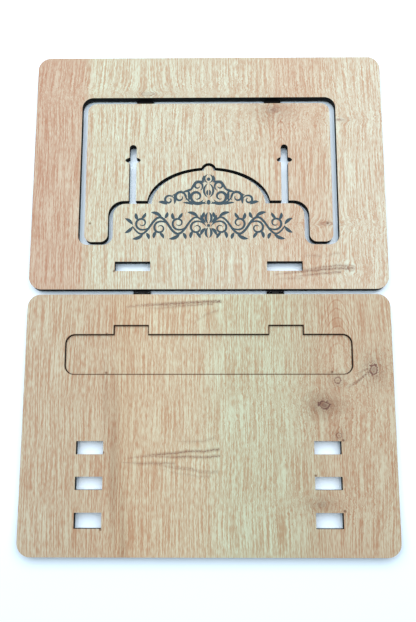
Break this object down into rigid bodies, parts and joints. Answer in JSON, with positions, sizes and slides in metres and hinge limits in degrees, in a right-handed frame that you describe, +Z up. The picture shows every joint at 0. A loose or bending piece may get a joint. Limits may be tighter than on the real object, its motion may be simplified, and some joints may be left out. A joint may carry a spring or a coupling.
{
  "type": "folding book stand",
  "caption": "Flat folding book stand: base board and windowed reading frame on butt hinges, nested strut panel with feet, slots for reading angles, and a lift-out book ledge.",
  "frame": {"origin": "on the surface the stand lies on, under the middle of the base hinge line, which is the middle of the open stand", "axes": "+X along the hinge line to the reader's right, +Y from the base board to the reading frame, +Z up out of the engraved face, stand lying fully open"},
  "size_m": [0.33, 0.4648, 0.0106],
  "materials": {
    "oak_board": "oak decor on fibre board, satin, charred laser-cut edges",
    "black_steel": "black lacquered hinge",
    "black_screws": "black countersunk screws"
  },
  "bodies": {
    "base": {"base_board": "oak_board", "base_hinge_left_base_leaf": "black_steel", "base_hinge_left_pin": "black_steel", "base_hinge_left_base_screws": "black_screws", "base_hinge_right_base_leaf": "black_steel", "base_hinge_right_pin": "black_steel", "base_hinge_right_base_screws": "black_screws"},
    "reading": {"reading_frame": "oak_board", "base_hinge_left_frame_leaf": "black_steel", "base_hinge_left_frame_screws": "black_screws", "strut_hinge_left_frame_leaf": "black_steel", "strut_hinge_left_pin": "black_steel", "strut_hinge_left_frame_screws": "black_screws", "base_hinge_right_frame_leaf": "black_steel", "base_hinge_right_frame_screws": "black_screws", "strut_hinge_right_frame_leaf": "black_steel", "strut_hinge_right_pin": "black_steel", "strut_hinge_right_frame_screws": "black_screws"},
    "strut": {"strut_panel": "oak_board", "strut_hinge_left_strut_leaf": "black_steel", "strut_hinge_left_strut_screws": "black_screws", "strut_hinge_right_strut_leaf": "black_steel", "strut_hinge_right_strut_screws": "black_screws"},
    "ledge": {"book_ledge": "oak_board"}
  },
  "joints": [
    {"name": "base_hinge", "type": "hinge", "parent": "base", "child": "reading", "pos_m": [0, 0, 0.0013], "axis": [-1, 0, 0], "range_deg": [-27, 174]},
    {"name": "strut_hinge", "type": "hinge", "parent": "reading", "child": "strut", "pos_m": [0, 0.1877, 0.0013], "axis": [1, 0, 0], "range_deg": [-35, 175]},
    {"name": "ledge_lift", "type": "slide", "parent": "base", "child": "ledge", "axis": [0, 0, 1], "range_m": [0, 0.03]}
  ]
}
